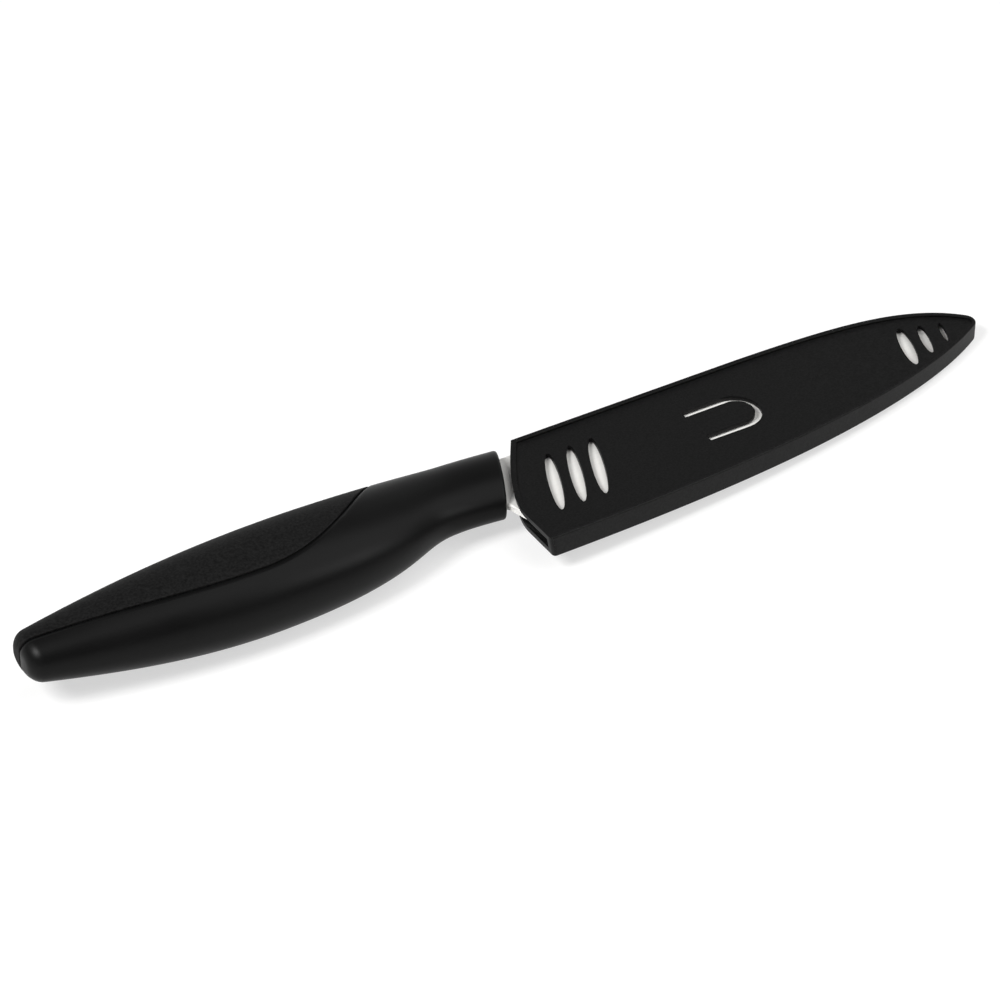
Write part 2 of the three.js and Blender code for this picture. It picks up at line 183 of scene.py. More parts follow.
def breakEdges(piece, width, angle, hingeX):  # outward corners only, inner ones and the hinge line stay crisp
    pick(piece)
    bpy.ops.object.mode_set(mode="EDIT")
    bpy.ops.mesh.select_mode(type="EDGE")
    bpy.ops.mesh.select_all(action="DESELECT")
    mesh = bmesh.from_edit_mesh(piece.data)
    hingeAt = inMetres([hingeX, 0, 0])[0]
    for edge in mesh.edges:
        onHinge = all(abs(vertex.co.x - hingeAt) < 1e-5 for vertex in edge.verts)
        sharp = edge.is_convex and edge.calc_face_angle(0) > math.radians(angle)
        edge.select_set(sharp and not onHinge)
    bmesh.update_edit_mesh(piece.data)
    bpy.ops.mesh.bevel(offset=width / 1000, segments=2, affect="EDGES", clamp_overlap=False)
    bpy.ops.object.mode_set(mode="OBJECT")


def smoothOver(piece, angle, flatFaces=False):
    pick(piece)
    bpy.ops.object.shade_smooth_by_angle(angle=math.radians(angle))
    if flatFaces:
        step = piece.modifiers.new("flatFaces", "WEIGHTED_NORMAL")
        step.keep_sharp = True
        bpy.ops.object.modifier_apply(modifier=step.name)


def dress(piece, material, node, body):
    piece.data.materials.clear()
    piece.data.materials.append(material)
    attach(piece, body)
    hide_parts(node)


# materials

def srgb(code):
    values = [int(code[i:i + 2], 16) / 255 for i in (1, 3, 5)]
    return tuple(v / 12.92 if v <= 0.04045 else ((v + 0.055) / 1.055) ** 2.4 for v in values) + (1,)


def addNode(tree, kind, inputs, **settings):
    node = tree.nodes.new(kind)
    for key, value in settings.items():
        setattr(node, key, value)
    for socket, value in inputs.items():
        if isinstance(value, bpy.types.NodeSocket):
            tree.links.new(value, node.inputs[socket])
        else:
            node.inputs[socket].default_value = value
    return node


def perMetre(millimetres):  # a pattern's scale from its real size
    return 1000 / millimetres


def newMaterial(name):
    material = bpy.data.materials.new(name)
    material.use_nodes = True
    return material, material.node_tree, material.node_tree.nodes["Principled BSDF"]


grainSpan, cloudSpan = (0.35, 0.65), (0.3, 0.7)  # where most values of a fine and a wide noise lie


def setGloss(shader, finish):
    shader.inputs["IOR"].default_value = finish["ior"]
    shader.inputs["Specular IOR Level"].default_value = finish["shine"]


def grainedMoulding(name, finish):  # lighter specks and small bumps from one grain
    material, tree, shader = newMaterial(name)
    coords = addNode(tree, "ShaderNodeTexCoord", {})
    grain = addNode(tree, "ShaderNodeTexNoise", {
        "Vector": coords.outputs["Object"], "Scale": perMetre(finish["grain"]), "Detail": finish["detail"],
        "Roughness": finish["harshness"]})
    specks = addNode(tree, "ShaderNodeMapRange", {
        "Value": grain.outputs["Fac"], "From Min": grainSpan[0], "From Max": grainSpan[1]})
    tone = addNode(tree, "ShaderNodeMix", {
        "Factor": specks.outputs["Result"], "A": srgb(finish["dark"]), "B": srgb(finish["light"])},
        data_type="RGBA")
    bumps = addNode(tree, "ShaderNodeBump", {
        "Height": grain.outputs["Fac"], "Distance": finish["depth"] / 1000})
    tree.links.new(tone.outputs["Result"], shader.inputs["Base Color"])
    tree.links.new(bumps.outputs["Normal"], shader.inputs["Normal"])
    shader.inputs["Roughness"].default_value = finish["roughness"]
    setGloss(shader, finish)
    return material


# soft black thermoplastic rubber with a leather-like moulded grain: dull, breaks the light up finely
rubberFinish = {"dark": "#060606", "light": "#171717", "grain": 0.55, "detail": 3, "harshness": 0.6,
                "depth": 0.05, "roughness": 0.62, "ior": 1.5, "shine": 0.09}
tprSkin = grainedMoulding("tprSkin", rubberFinish)

# black polypropylene, moulded in a matt tool: dark flat faces, greyer where it mirrors the table
# (its grain is finer than a tenth of a millimetre, and is drawn coarser here so that it shows)
guardFinish = {"dark": "#030303", "light": "#121212", "grain": 0.45, "detail": 2, "harshness": 0.5,
               "depth": 0.008, "roughness": 0.46, "ior": 1.49, "shine": 0.15}
ppMoulding = grainedMoulding("ppMoulding", guardFinish)

# satin black ABS, moulded in a finely spark-eroded tool: soft broad highlights, no sparkle
absFinish = {"dark": "#080808", "light": "#0c0c0c", "grain": 0.22, "depth": 0.004, "cloud": 14,
             "roughness": 0.4, "spread": 0.03, "ior": 1.54, "shine": 0.1}
absMoulding, tree, shader = newMaterial("absMoulding")
coords = addNode(tree, "ShaderNodeTexCoord", {})
grain = addNode(tree, "ShaderNodeTexNoise", {
    "Vector": coords.outputs["Object"], "Scale": perMetre(absFinish["grain"]), "Detail": 2})
cloud = addNode(tree, "ShaderNodeTexNoise", {
    "Vector": coords.outputs["Object"], "Scale": perMetre(absFinish["cloud"])})
tone = addNode(tree, "ShaderNodeMix", {
    "Factor": cloud.outputs["Fac"], "A": srgb(absFinish["dark"]), "B": srgb(absFinish["light"])},
    data_type="RGBA")
gloss = addNode(tree, "ShaderNodeMapRange", {
    "Value": cloud.outputs["Fac"], "From Min": cloudSpan[0], "From Max": cloudSpan[1],
    "To Min": absFinish["roughness"] - absFinish["spread"],
    "To Max": absFinish["roughness"] + absFinish["spread"]})
bumps = addNode(tree, "ShaderNodeBump", {
    "Height": grain.outputs["Fac"], "Distance": absFinish["depth"] / 1000})
tree.links.new(tone.outputs["Result"], shader.inputs["Base Color"])
tree.links.new(gloss.outputs["Result"], shader.inputs["Roughness"])
tree.links.new(bumps.outputs["Normal"], shader.inputs["Normal"])
setGloss(shader, absFinish)

# polished zirconia, ground along the edge: milk white, clear reflections, faint lapping lines
zirconiaFinish = {"white": "#f1f0ed", "shade": "#e7e5e1", "lines": 0.5, "stretch": 0.03,
                  "roughness": 0.2, "spread": 0.05, "ior": 2.1}
zirconia, tree, shader = newMaterial("zirconia")
coords = addNode(tree, "ShaderNodeTexCoord", {})
stretched = addNode(tree, "ShaderNodeMapping", {
    "Vector": coords.outputs["Object"], "Scale": (zirconiaFinish["stretch"], 1, 1)})
lines = addNode(tree, "ShaderNodeTexNoise", {
    "Vector": stretched.outputs["Vector"], "Scale": perMetre(zirconiaFinish["lines"]), "Detail": 2})
tone = addNode(tree, "ShaderNodeMix", {
    "Factor": lines.outputs["Fac"], "A": srgb(zirconiaFinish["shade"]), "B": srgb(zirconiaFinish["white"])},
    data_type="RGBA")
gloss = addNode(tree, "ShaderNodeMapRange", {
    "Value": lines.outputs["Fac"], "From Min": cloudSpan[0], "From Max": cloudSpan[1],
    "To Min": zirconiaFinish["roughness"] - zirconiaFinish["spread"],
    "To Max": zirconiaFinish["roughness"] + zirconiaFinish["spread"]})
tree.links.new(tone.outputs["Result"], shader.inputs["Base Color"])
tree.links.new(gloss.outputs["Result"], shader.inputs["Roughness"])
shader.inputs["IOR"].default_value = zirconiaFinish["ior"]

# cured epoxy round the tang: cream, slightly cloudy, hidden inside the handle
epoxyFinish = {"dark": "#d2cbb3", "light": "#e0dac6", "cloud": 3, "roughness": 0.4, "ior": 1.55}
epoxy, tree, shader = newMaterial("curedEpoxy")
coords = addNode(tree, "ShaderNodeTexCoord", {})
cloud = addNode(tree, "ShaderNodeTexNoise", {
    "Vector": coords.outputs["Object"], "Scale": perMetre(epoxyFinish["cloud"])})
tone = addNode(tree, "ShaderNodeMix", {
    "Factor": cloud.outputs["Fac"], "A": srgb(epoxyFinish["dark"]), "B": srgb(epoxyFinish["light"])},
    data_type="RGBA")
tree.links.new(tone.outputs["Result"], shader.inputs["Base Color"])
shader.inputs["Roughness"].default_value = epoxyFinish["roughness"]
shader.inputs["IOR"].default_value = epoxyFinish["ior"]
print("materials made")


# handle: one lofted form, parted along the seam into a moulding and a soft skin

handle = {
    "buttX": -116, "buttSpine": 10.4, "buttWidth": 11.7, "buttThick": 9.5, "buttRound": 3.1,
    "crownX": -43, "crown": 16.2, "swellX": -60, "width": 27.1, "thick": 19.6,
    "notchX": -13, "notchWidth": 19.3, "collarX": -7.5, "collarThick": 11.2, "collarSpine": 14.2,
    "collarWidth": 19.4, "frontX": 1.2, "rake": 0.41, "collarRound": 0.7, "power": 2.3,
    "seamButt": 4.6, "seamLowX": -62, "seamLow": -4.3, "seamEndX": -20.8, "seamEnd": 18.8,
    "skin": 2.6, "bodySoft": 0.12, "skinSoft": 0.2, "sharp": 55, "smooth": 40,
    "groove": 0.3, "narrowFrom": -66, "narrowTo": -46, "narrowShare": 0.3,  # finer towards its front end
    "land": 1.1, "landDrop": 0.4, "landFoot": 0.85, "landBrow": 1.1, "landBend": 0.12,
    "sealGap": 0.03, "sealRamp": 0.5,  # the groove's bottom in the butt
    "arcPoints": 72, "innerPoints": 18, "seamSamples": 4000,
    "buttRows": 12, "seamRows": 110, "frontRows": 45, "collarRows": 8, "crowding": 1.6,
}
overTheBack = 99  # a level that no section reaches

endX = handle["frontX"] + handle["rake"] * handle["crown"]
buttBack = (handle["buttX"], handle["buttSpine"])
buttBelly = (handle["buttX"], handle["buttSpine"] - handle["buttWidth"])
crownPoint = (handle["crownX"], handle["crown"])
swellPoint = (handle["swellX"], handle["crown"] - handle["width"])
notchPoint = (handle["notchX"], handle["crown"] - handle["notchWidth"])
collarBack = (endX, handle["collarSpine"])
collarBelly = (endX, handle["collarSpine"] - handle["collarWidth"])
swellThick = (handle["swellX"], handle["thick"])
seamPoint = (handle["seamLowX"], handle["seamLow"])

backLine = heightOn(joined(
    softRun(buttBack, leave=(0.16, 0.3), end=crownPoint, arrive=(0, 0.38)),
    softRun(crownPoint, leave=(0, 0.35), end=collarBack, arrive=(-0.13, 0.35))))
bellyLine = heightOn(joined(
    softRun(buttBelly, leave=(-0.28, 0.35), end=swellPoint, arrive=(0, 0.34)),
    softRun(swellPoint, leave=(0, 0.76), end=notchPoint, arrive=(0, 0.2)),
    softRun(notchPoint, leave=(0, 0.35), end=collarBelly, arrive=(-0.12, 0.35))))
thickLine = heightOn(joined(
    softRun((handle["buttX"], handle["buttThick"]), leave=(0.31, 0.31), end=swellThick, arrive=(0, 0.38)),
    softRun(swellThick, leave=(0, 0.6), end=(handle["collarX"], handle["collarThick"]), arrive=(0, 0.22))))
seamCurve = joined(
    softRun((handle["buttX"], handle["seamButt"]), leave=(-0.19, 0.39), end=seamPoint, arrive=(0, 0.32)),
    softRun(seamPoint, leave=(0, 0.35), end=(handle["seamEndX"], handle["seamEnd"]), arrive=(0.97, 0.4)))


def rounded(value):
    return np.sign(value) * np.abs(value) ** (2 / handle["power"])


def sectionPoints(x, angles, inset):
    x = np.broadcast_to(x, angles.shape)
    back, belly = backLine(x), bellyLine(x)
    y = (back + belly) / 2 + ((back - belly) / 2 - inset) * rounded(np.cos(angles))
    z = (thickLine(x) / 2 - inset) * rounded(np.sin(angles))
    return np.stack([x, y, z], axis=-1)


def leaningPoints(x, angles, inset):  # sections lean over towards the collar's raked front
    lean = handle["rake"] * max(0, (x - handle["notchX"]) / (handle["frontX"] - handle["notchX"]))
    upright = sectionPoints(x, angles, inset)
    return sectionPoints(x + lean * upright[:, 1], angles, inset)


def angleAt(x, y, inset):  # where a section crosses a level
    back, belly = backLine(x), bellyLine(x)
    share = np.clip((y - (back + belly) / 2) / ((back - belly) / 2 - inset), -1, 1)
    return math.acos(np.sign(share) * abs(share) ** (handle["power"] / 2))


def crossing(seam):  # where a seam runs out over the handle's back
    xs = np.linspace(handle["seamLowX"], handle["seamEndX"], handle["seamSamples"])
    return float(xs[np.argmax(seam(xs) > backLine(xs))])


def bodyArc(x, edge, inset, drop):  # the moulding falls away a little beside the seam
    probe = 0.01
    near = sectionPoints(x, np.array([edge, edge + probe]), inset)
    land = probe * handle["land"] / np.linalg.norm(near[1] - near[0])
    start = np.array([edge, edge + handle["landFoot"] * land])
    brow = handle["landBrow"] * land
    between = np.linspace(edge + brow, 2 * math.pi - edge - brow, handle["arcPoints"] - 4)
    angles = np.concatenate([start, between, 2 * math.pi - start[::-1]])
    insets = np.full(len(angles), float(inset))
    insets[[0, -1]] += drop
    insets[[1, -2]] += handle["landBend"] * drop
    return leaningPoints(x, angles, insets)


def handleRing(x, inset, level, depth, upper, drop=handle["landDrop"]):
    edge = angleAt(x, level, inset)
    if upper:
        outer = leaningPoints(x, np.linspace(edge, -edge, handle["arcPoints"]), inset)
    else:
        outer = bodyArc(x, edge, inset, drop)
    count = handle["innerPoints"]
    if edge < 1e-4:  # ahead of the skin: the section is whole
        inner = np.repeat(outer[-1:], count, axis=0)
    elif depth is None:  # a flat cut across the butt
        inner = np.linspace(outer[-1], outer[0], count)
        if upper:  # the skin's middle closes the groove's bottom, so no light shows through the butt
            fromEnds = np.minimum(np.arange(count), np.arange(count)[::-1])
            middle = np.clip(fromEnds - 1, 0, 3) / 3
            deeper = min(1, (x - handle["buttX"]) / handle["sealRamp"])
            inner[:, 1] -= (handle["groove"] - handle["sealGap"]) * middle * deeper
    else:
        core = angleAt(x, level, depth)
        inner = sectionPoints(x, np.linspace(-core, core, count), depth)
    return np.concatenate([outer, inner, outer[:1]])


def dropAhead(distance):  # the land runs out over the handle's back
    return handle["landDrop"] * max(0, 1 - distance / handle["land"])


def handleRows(upper):
    if upper:
        narrowing = np.interp(seamCurve[:, 0], [handle["narrowFrom"], handle["narrowTo"]],
                              [1, handle["narrowShare"]])[:, None]
        level = heightOn(movedOut(seamCurve, -handle["groove"] * narrowing))
        depth = handle["skin"]
    else:
        level = heightOn(seamCurve)
        depth = handle["skin"] + handle["groove"]
    seamEndX = crossing(level)
    radius = handle["buttRound"]
    roundEndX = handle["buttX"] + radius
    rows = []
    for step in range(handle["buttRows"] + 1):  # the rounded butt
        angle = math.pi / 2 * (step / handle["buttRows"] - 1)
        x = roundEndX + radius * math.sin(angle)
        rows.append(handleRing(x, radius * (1 - math.cos(angle)), level(x), None, upper))
    rows.append(handleRing(x, 0, level(x), depth, upper))
    for share in np.linspace(0, 1, handle["seamRows"] + 1)[1:]:  # closer towards the seam's end
        x = roundEndX + (seamEndX - roundEndX) * (1 - (1 - share) ** handle["crowding"])
        rows.append(handleRing(x, 0, overTheBack if share == 1 else level(x), depth, upper))
    if upper:
        return rows
    radius = handle["collarRound"]
    lastX = handle["frontX"] - radius
    for x in np.linspace(seamEndX, lastX, handle["frontRows"] + 1)[1:-1]:
        rows.append(handleRing(x, 0, overTheBack, depth, upper, dropAhead(x - seamEndX)))
    for step in range(handle["collarRows"] + 1):  # the collar's rounded front edge
        angle = math.pi / 2 * step / handle["collarRows"]
        x, inset = lastX + radius * math.sin(angle), radius * (1 - math.cos(angle))
        rows.append(handleRing(x, inset, overTheBack, depth, upper, 0))
    return rows


neck = {"bottom": -2.4, "depth": 5, "reach": 2.4, "thick": 1.8, "spine": drawing["spine"], "gap": 0.3,
        "tangLength": drawing["tangLength"], "tangWidth": 10.5, "tangBottom": 0.4, "glueRoom": 1.2,
        "notchRadius": 2, "notchX": -24, "notchPoints": 17, "slotEndX": 30, "pocketEndX": -2}
tangTop = neck["tangBottom"] + neck["tangWidth"]
halfBlade = neck["thick"] / 2

handleBody = wrapGrid("handleBody", handleRows(False))
gap, room = neck["gap"], neck["glueRoom"]
neckSlot = blockBetween("neckSlot", (-neck["depth"] - gap, neck["bottom"] - gap),
                        (neck["slotEndX"], neck["spine"] + gap), halfBlade + gap)
combine(handleBody, neckSlot, "DIFFERENCE")
tangPocket = blockBetween("tangPocket", (-neck["tangLength"] - room, neck["tangBottom"] - room),
                          (neck["pocketEndX"], tangTop + room), halfBlade + room)
combine(handleBody, tangPocket, "DIFFERENCE")
softEdges(handleBody, handle["bodySoft"], 2, handle["sharp"])
smoothOver(handleBody, handle["smooth"])
dress(handleBody, absMoulding, "handle_body", "knife")

gripSkin = wrapGrid("gripSkin", handleRows(True))
softEdges(gripSkin, handle["skinSoft"], 3, handle["sharp"])
smoothOver(gripSkin, handle["smooth"])
dress(gripSkin, tprSkin, "grip_insert", "knife")
print("handle modelled:", len(handleBody.data.polygons), "and", len(gripSkin.data.polygons), "faces")


# blade: flat blank, ground along the edge, with the neck and tang in one piece

blade = {"heelX": 2.6, "heelY": -18.2, "tipX": 128.7, "tipY": 1.1, "tipFlat": 0.3, "dropX": 67,
         "grind": 7.5, "grindShare": 0.6, "edge": 0.2, "taperX": 85, "tipThick": 0.9, "soft": 0.25,
         "fillet": 1.1, "filletShare": 0.16, "filletPoints": 9, "overlap": 8, "rows": 70, "crowding": 1.5,
         "sharp": 60, "smooth": 4}
tipPoint = (blade["tipX"], blade["tipY"])
edgeCurve = softRun((blade["heelX"], blade["heelY"]), leave=(0, 0.37), end=tipPoint, arrive=(0.58, 0.214))
dropCurve = softRun((blade["dropX"], neck["spine"]), leave=(0, 0.537), end=tipPoint, arrive=(-1.05, 0.165))
edgeLine, dropLine = heightOn(edgeCurve), heightOn(dropCurve)

rows = []
bladeReach = blade["tipX"] - blade["tipFlat"] - blade["heelX"]
for share in np.linspace(0, 1, blade["rows"]):
    x = blade["heelX"] + bladeReach * (1 - (1 - share) ** blade["crowding"])
    top, low = float(dropLine(x)), float(edgeLine(x))
    grind = low + min(blade["grind"], blade["grindShare"] * (top - low))
    taper = max(0, x - blade["taperX"]) / (blade["tipX"] - blade["taperX"])
    half, thin = (neck["thick"] - taper * (neck["thick"] - blade["tipThick"])) / 2, blade["edge"] / 2
    soft = blade["soft"] * half / halfBlade  # spine edges broken
    rows.append([(x, top - soft, half), (x, grind, half), (x, low, thin), (x, low, -thin), (x, grind, -half),
                 (x, top - soft, -half), (x, top, soft - half), (x, top, half - soft), (x, top - soft, half)])
bladePiece = wrapGrid("bladePiece", rows)


def tangNotch(y, side):  # half round, from above (1) or below (-1)
    angles = np.linspace(0, math.pi, neck["notchPoints"])
    reach = side * neck["notchRadius"]
    return np.column_stack([neck["notchX"] + reach * np.cos(angles), y - reach * np.sin(angles)])


choilEnd = blade["heelY"] + blade["grind"]
corner = np.array([blade["heelX"] - neck["reach"], neck["bottom"]])
down = np.array([blade["heelX"], choilEnd]) - corner
# a small fillet under the neck, then straight down to the heel
t = np.linspace(0, 1, blade["filletPoints"])[:, None]
fillet = ((corner - (blade["fillet"], 0)) * (1 - t) ** 2 + 2 * corner * t * (1 - t)
          + (corner + blade["filletShare"] * down) * t ** 2)
innerX = blade["heelX"] + blade["overlap"]
stub = np.concatenate([
    [(innerX, choilEnd), (innerX, neck["spine"]), (-neck["depth"], neck["spine"]), (-neck["depth"], tangTop)],
    tangNotch(tangTop, 1),
    [(-neck["tangLength"], tangTop), (-neck["tangLength"], neck["tangBottom"])],
    tangNotch(neck["tangBottom"], -1),
    [(-neck["depth"], neck["tangBottom"]), (-neck["depth"], neck["bottom"])],
    fillet, [corner + down]])
neckStub = flatPlate("neckStub", stub, -halfBlade, halfBlade)
softEdges(neckStub, blade["soft"], 1, blade["sharp"])
combine(bladePiece, neckStub, "UNION")
smoothOver(bladePiece, blade["smooth"], flatFaces=True)
dress(bladePiece, zirconia, "blade", "knife")
print("blade modelled:", len(bladePiece.data.polygons), "faces")


# guard: a flat pocket with a recessed face, slanted windows and a slot round the spring tongue

guard = {"room": 0.6, "wall": 2.1, "thick": 5.5, "tipThick": 4.7, "taperX": 73, "mouthSpineX": 12.2,
         "mouthHeelX": 0.3, "lean": 1, "heelRound": 1.2, "rake": 0.66, "bendY": -10.5, "rimDepth": 0.45,
         "rimSpine": 1.5, "rimEdge": 0.7, "edgeRound": 0.4, "soft": 0.1, "rimSharp": 60, "sharp": 50,
         "smooth": 35, "nosePoints": 15, "heelPoints": 9, "mouthSteps": 30, "windowSides": 72,
         "shellX": -8, "cavityX": -16, "mouthCutX": -30, "mouthPast": 8}  # the blanks reach past the mouth
mouthWindow = {"x": 12.65, "y": -2.7, "pitch": 5.74, "rise": 0, "tilt": 23, "length": 21.1, "width": 2.95,
               "shorter": 0, "thinner": 0}
tipWindow = {"x": 111.3, "y": -0.2, "pitch": 5.4, "rise": 0.27, "tilt": 19.8, "length": 14.9, "width": 3.15,
             "shorter": 3.75, "thinner": 0.95}
tongue = {"rootX": 51.1, "length": 15.45, "width": 8.4, "y": -1.54, "slot": 2.1, "endSlot": 1.5,
          "rootGap": 0.01, "blankBack": 2, "endPoints": 41}
halfThick = guard["thick"] / 2
plateTop = halfThick - guard["rimDepth"]
cavityHalf = halfBlade + neck["gap"]
outside = guard["room"] + guard["wall"]


def roundBladeLine(distance, heelX, spineX):
    low = movedOut(edgeCurve, distance)[:-1]
    high = movedOut(dropCurve, -distance)[::-1][1:]
    start = math.atan2(*(movedOut(edgeCurve, 1)[-1] - edgeCurve[-1])[::-1])
    end = math.atan2(*(movedOut(dropCurve, -1)[-1] - dropCurve[-1])[::-1])
    angles = np.linspace(start, end, guard["nosePoints"])
    nose = np.column_stack([blade["tipX"] + distance * np.cos(angles),
                            blade["tipY"] + distance * np.sin(angles)])
    return np.concatenate([[(heelX, blade["heelY"] - distance)], low[::2], nose, high[::2],
                           [(spineX, neck["spine"] + distance)]])


def mouthLine():
    low, high = blade["heelY"] - outside, neck["spine"] + outside
    radius = guard["heelRound"]
    angles = np.linspace(1.5 * math.pi, math.pi, guard["heelPoints"])
    heel = np.column_stack([guard["mouthHeelX"] + radius + radius * np.cos(angles),
                            low + radius + radius * np.sin(angles)])
    sweep = softRun((guard["bendY"], guard["mouthHeelX"]), leave=(0, 0.25),
                    end=(high, guard["mouthSpineX"]), arrive=(guard["rake"], 0.39),
                    steps=guard["mouthSteps"])
    return np.concatenate([heel, sweep[:, ::-1]])


def insetOutline(points, distanceFor):
    along = np.roll(points, -1, axis=0) - points
    normals = np.column_stack([along[:, 1], -along[:, 0]]) / np.linalg.norm(along, axis=1)[:, None]
    moved = []
    for i, point in enumerate(points):
        before, after = normals[i - 1], normals[i]
        first, second = distanceFor(before), distanceFor(after)
        bend = before[0] * after[1] - before[1] * after[0]
        if abs(bend) < 0.02:  # nearly straight
            moved.append(point + after * (first + second) / 2)
        else:
            moved.append(point + np.array([first * after[1] - second * before[1],
                                           second * before[0] - first * after[0]]) / bend)
    return np.array(moved)


def rimFor(normal):  # the rim is wider on the spine side
    return -(guard["rimEdge"] + (guard["rimSpine"] - guard["rimEdge"]) * (1 + normal[1]) / 2)


def taperFaces(piece):  # the faces draw together towards the tip
    noseX = blade["tipX"] + outside
    for vertex in piece.data.vertices:
        x = (vertex.co.x - drawingZero[0]) * 1000
        share = max(0, x - guard["taperX"]) / (noseX - guard["taperX"])
        shrink = 1 + (guard["tipThick"] / guard["thick"] - 1) * share
        vertex.co.z = drawingZero[2] + (vertex.co.z - drawingZero[2]) * shrink


def windowCut(row, i):  # a cylinder 1 mm across, scaled to the window's width and length
    deselect()
    bpy.ops.mesh.primitive_cylinder_add(
        vertices=guard["windowSides"], radius=0.0005, depth=guard["thick"] / 1000,
        location=tuple(inMetres([row["x"] + i * row["pitch"], row["y"] + i * row["rise"], halfThick])),
        rotation=(0, 0, math.radians(-row["tilt"])),
        scale=(row["width"] - i * row["thinner"], row["length"] - i * row["shorter"], 1))
    bpy.ops.object.transform_apply(location=True, rotation=True, scale=True)
    return bpy.context.object


def tongueOutline(rootX, endX, halfWidth):
    angles = np.linspace(-math.pi / 2, math.pi / 2, tongue["endPoints"])
    end = np.column_stack([endX - halfWidth + halfWidth * np.cos(angles),
                           tongue["y"] + halfWidth * np.sin(angles)])
    return np.concatenate([[(rootX, tongue["y"] - halfWidth)], end, [(rootX, tongue["y"] + halfWidth)]])


guardShell = flatPlate("guardShell", roundBladeLine(outside, guard["shellX"], guard["shellX"]),
                       -halfThick, halfThick, guard["taperX"])
pick(guardShell)
bpy.ops.object.mode_set(mode="EDIT")
bpy.ops.mesh.select_mode(type="EDGE")
bpy.ops.mesh.select_all(action="DESELECT")
# the two rims, and the four ends that are cut off later
bpy.ops.mesh.edges_select_sharp(sharpness=math.radians(guard["rimSharp"]))
bpy.ops.mesh.bevel(offset=guard["edgeRound"] / 1000, segments=3, affect="EDGES")
bpy.ops.object.mode_set(mode="OBJECT")
taperFaces(guardShell)

mouth = mouthLine()
(heelX, heelY), (spineX, spineY) = mouth[0], mouth[-1]
past = guard["mouthPast"]
mouthOutline = np.concatenate([
    [(guard["mouthCutX"], heelY - past), (heelX, heelY - past)], mouth,
    [(spineX, spineY + past), (guard["mouthCutX"], spineY + past)]])
mouthCut = flatPlate("mouthCut", mouthOutline, -2 * halfThick, 2 * halfThick)
for vertex in mouthCut.data.vertices:  # the mouth leans back below the front face
    depth = drawingZero[2] + halfThick / 1000 - vertex.co.z
    vertex.co.x += depth * guard["lean"] / guard["thick"]

wholeOutline = np.concatenate([roundBladeLine(outside, heelX, guard["mouthSpineX"]), mouth[1:-1][::-1]])
recess = flatPlate("recess", insetOutline(wholeOutline, rimFor), plateTop, 2 * halfThick, guard["taperX"])
taperFaces(recess)
cavity = flatPlate("cavity", roundBladeLine(guard["room"], guard["cavityX"], guard["cavityX"]),
                   -cavityHalf, cavityHalf)
tongueEndX = tongue["rootX"] + tongue["length"]
slotCut = flatPlate("tongueSlot", tongueOutline(
    tongue["rootX"], tongueEndX + tongue["endSlot"], tongue["width"] / 2 + tongue["slot"]), 0, guard["thick"])
for cutter in [mouthCut, recess, cavity, slotCut]:
    combine(guardShell, cutter, "DIFFERENCE")
for row in [mouthWindow, tipWindow]:
    for i in range(3):
        combine(guardShell, windowCut(row, i), "DIFFERENCE")
breakEdges(guardShell, guard["soft"], guard["sharp"], tongue["rootX"])
smoothOver(guardShell, guard["smooth"], flatFaces=True)
dress(guardShell, ppMoulding, "blade_guard", "guard")
print("guard modelled:", len(guardShell.data.polygons), "faces")

# tongue: drawn past its root, its edges broken, then cut off square at the root
blankX = tongue["rootX"] - tongue["blankBack"]
springTongue = flatPlate("springTongue", tongueOutline(blankX, tongueEndX, tongue["width"] / 2),
                         cavityHalf, plateTop)
breakEdges(springTongue, guard["soft"], guard["sharp"], blankX)
bpy.ops.object.mode_set(mode="EDIT")
bpy.ops.mesh.select_all(action="SELECT")
rootAt = inMetres([tongue["rootX"] + tongue["rootGap"], 0, 0])
bpy.ops.mesh.bisect(plane_co=tuple(rootAt), plane_no=(1, 0, 0), use_fill=True, clear_inner=True)
bpy.ops.object.mode_set(mode="OBJECT")
smoothOver(springTongue, guard["smooth"], flatFaces=True)
dress(springTongue, ppMoulding, "guard_tongue", "tongue")
print("tongue modelled:", len(springTongue.data.polygons), "faces")

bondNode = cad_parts["tang_bond"]
bondNode.data.materials.clear()
bondNode.data.materials.append(epoxy)


# floor: white table, tipped to touch the handle's belly and the guard's tip, as the knife really lies;
# past the tip it runs level, just below the guard when that is drawn off; far off it fades to plain white

table = {"white": "#f7f7f6", "glow": 0.6, "roughness": 0.9, "half": 1.5, "sink": 0.0001, "bendFrom": 0.004,
         "bendTo": 0.02, "below": 0.0003, "fadeFrom": 0.2, "fadeTo": 0.7}  # lengths in metres
bellyX = inMetres([handle["swellX"], 0, 0])[0]
tipX = inMetres([blade["tipX"] + outside, 0, 0])[0]
tipLow = drawingZero[2] - guard["tipThick"] / 2000
tableTilt = math.atan2(tipLow, tipX - bellyX)
level = drawingZero[2] - halfThick / 1000 - table["below"]


def tipped(x):
    return (x, (x - bellyX) * math.tan(tableTilt) - table["sink"])


far = table["half"]
profile = [tipped(-far), tipped(tipX + table["bendFrom"]), (tipX + table["bendTo"], level), (far, level)]
corners = [(x, y, z) for y in (-far, far) for x, z in profile]
deselect()
bpy.ops.mesh.primitive_grid_add(x_subdivisions=3, y_subdivisions=1)
tableTop = bpy.context.object
tableTop.name = "tableTop"
tableTop.data.vertices.foreach_set("co", np.array(corners).ravel())

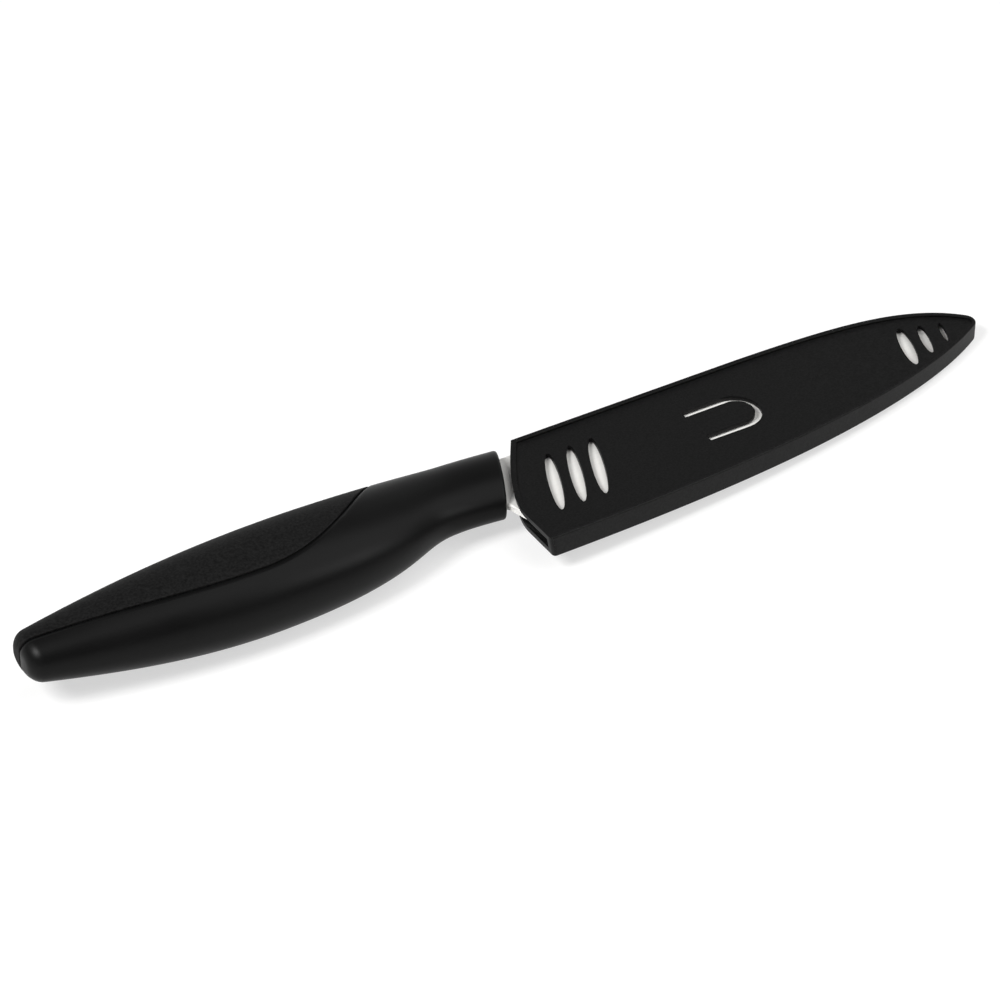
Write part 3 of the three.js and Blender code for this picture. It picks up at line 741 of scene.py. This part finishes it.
tablePaper, tree, shader = newMaterial("tablePaper")
shader.inputs["Base Color"].default_value = srgb(table["white"])
shader.inputs["Roughness"].default_value = table["roughness"]
rays = addNode(tree, "ShaderNodeLightPath", {})
glow = addNode(tree, "ShaderNodeEmission", {"Color": (1, 1, 1, 1), "Strength": 1})
seen = addNode(tree, "ShaderNodeMath", {
    0: rays.outputs["Is Camera Ray"], 1: rays.outputs["Is Glossy Ray"]}, operation="MAXIMUM")
coords = addNode(tree, "ShaderNodeTexCoord", {})
distance = addNode(tree, "ShaderNodeVectorMath", {0: coords.outputs["Object"]}, operation="LENGTH")
fade = addNode(tree, "ShaderNodeMapRange", {
    "Value": distance.outputs["Value"], "From Min": table["fadeFrom"], "From Max": table["fadeTo"],
    "To Min": table["glow"], "To Max": 1})
share = addNode(tree, "ShaderNodeMath", {
    0: seen.outputs["Value"], 1: fade.outputs["Result"]}, operation="MULTIPLY")
mixed = addNode(tree, "ShaderNodeMixShader", {
    0: share.outputs["Value"], 1: shader.outputs["BSDF"], 2: glow.outputs["Emission"]})
tree.links.new(mixed.outputs["Shader"], tree.nodes["Material Output"].inputs["Surface"])
tableTop.data.materials.append(tablePaper)

# light: a small soft box high on the butt side, a wide weak panel overhead and a small fill in front
softBoxes = [
    {"name": "buttSideKey", "at": (-0.9, -0.08, 0.97), "size": 0.5, "power": 19},
    {"name": "overheadPanel", "at": (0.48, -0.2, 0.98), "size": 1.2, "power": 8.2},
    {"name": "frontFill", "at": (0.62, -0.74, 0.62), "size": 0.5, "power": 2.8},
]
for box in softBoxes:
    lamp = bpy.data.lights.new(box["name"], "AREA")
    lamp.shape = "SQUARE"
    lamp.size = box["size"]
    lamp.energy = box["power"]
    holder = bpy.data.objects.new(box["name"], lamp)
    holder.location = box["at"]
    holder.rotation_euler = (-Vector(box["at"])).to_track_quat("-Z", "Y").to_euler()  # aimed at the knife
    bpy.context.scene.collection.objects.link(holder)

# surroundings: a dim room with a low white sweep behind, white to the camera
sweep = {"strength": 0.6, "from": 0.2, "to": 0.8, "top": 0.55, "fade": 0.3, "room": 0.08}
studio = bpy.data.worlds.new("studio")
studio.use_nodes = True
bpy.context.scene.world = studio
tree = studio.node_tree
coords = addNode(tree, "ShaderNodeTexCoord", {})
way = addNode(tree, "ShaderNodeSeparateXYZ", {"Vector": coords.outputs["Generated"]})
behind = addNode(tree, "ShaderNodeMapRange", {
    "Value": way.outputs["Y"], "From Min": sweep["from"], "From Max": sweep["to"],
    "To Max": sweep["strength"]})
low = addNode(tree, "ShaderNodeMapRange", {
    "Value": way.outputs["Z"], "From Min": sweep["top"], "From Max": sweep["top"] - sweep["fade"]})
wall = addNode(tree, "ShaderNodeMath", {
    0: behind.outputs["Result"], 1: low.outputs["Result"], 2: sweep["room"]}, operation="MULTIPLY_ADD")
rays = addNode(tree, "ShaderNodeLightPath", {})
white = addNode(tree, "ShaderNodeMath", {
    0: wall.outputs["Value"], 1: rays.outputs["Is Camera Ray"]}, operation="MAXIMUM")
surround = tree.nodes["Background"]
surround.inputs["Color"].default_value = (1, 1, 1, 1)
tree.links.new(white.outputs["Value"], surround.inputs["Strength"])
bpy.context.scene.view_settings.view_transform = "Standard"
print("stage and light set")
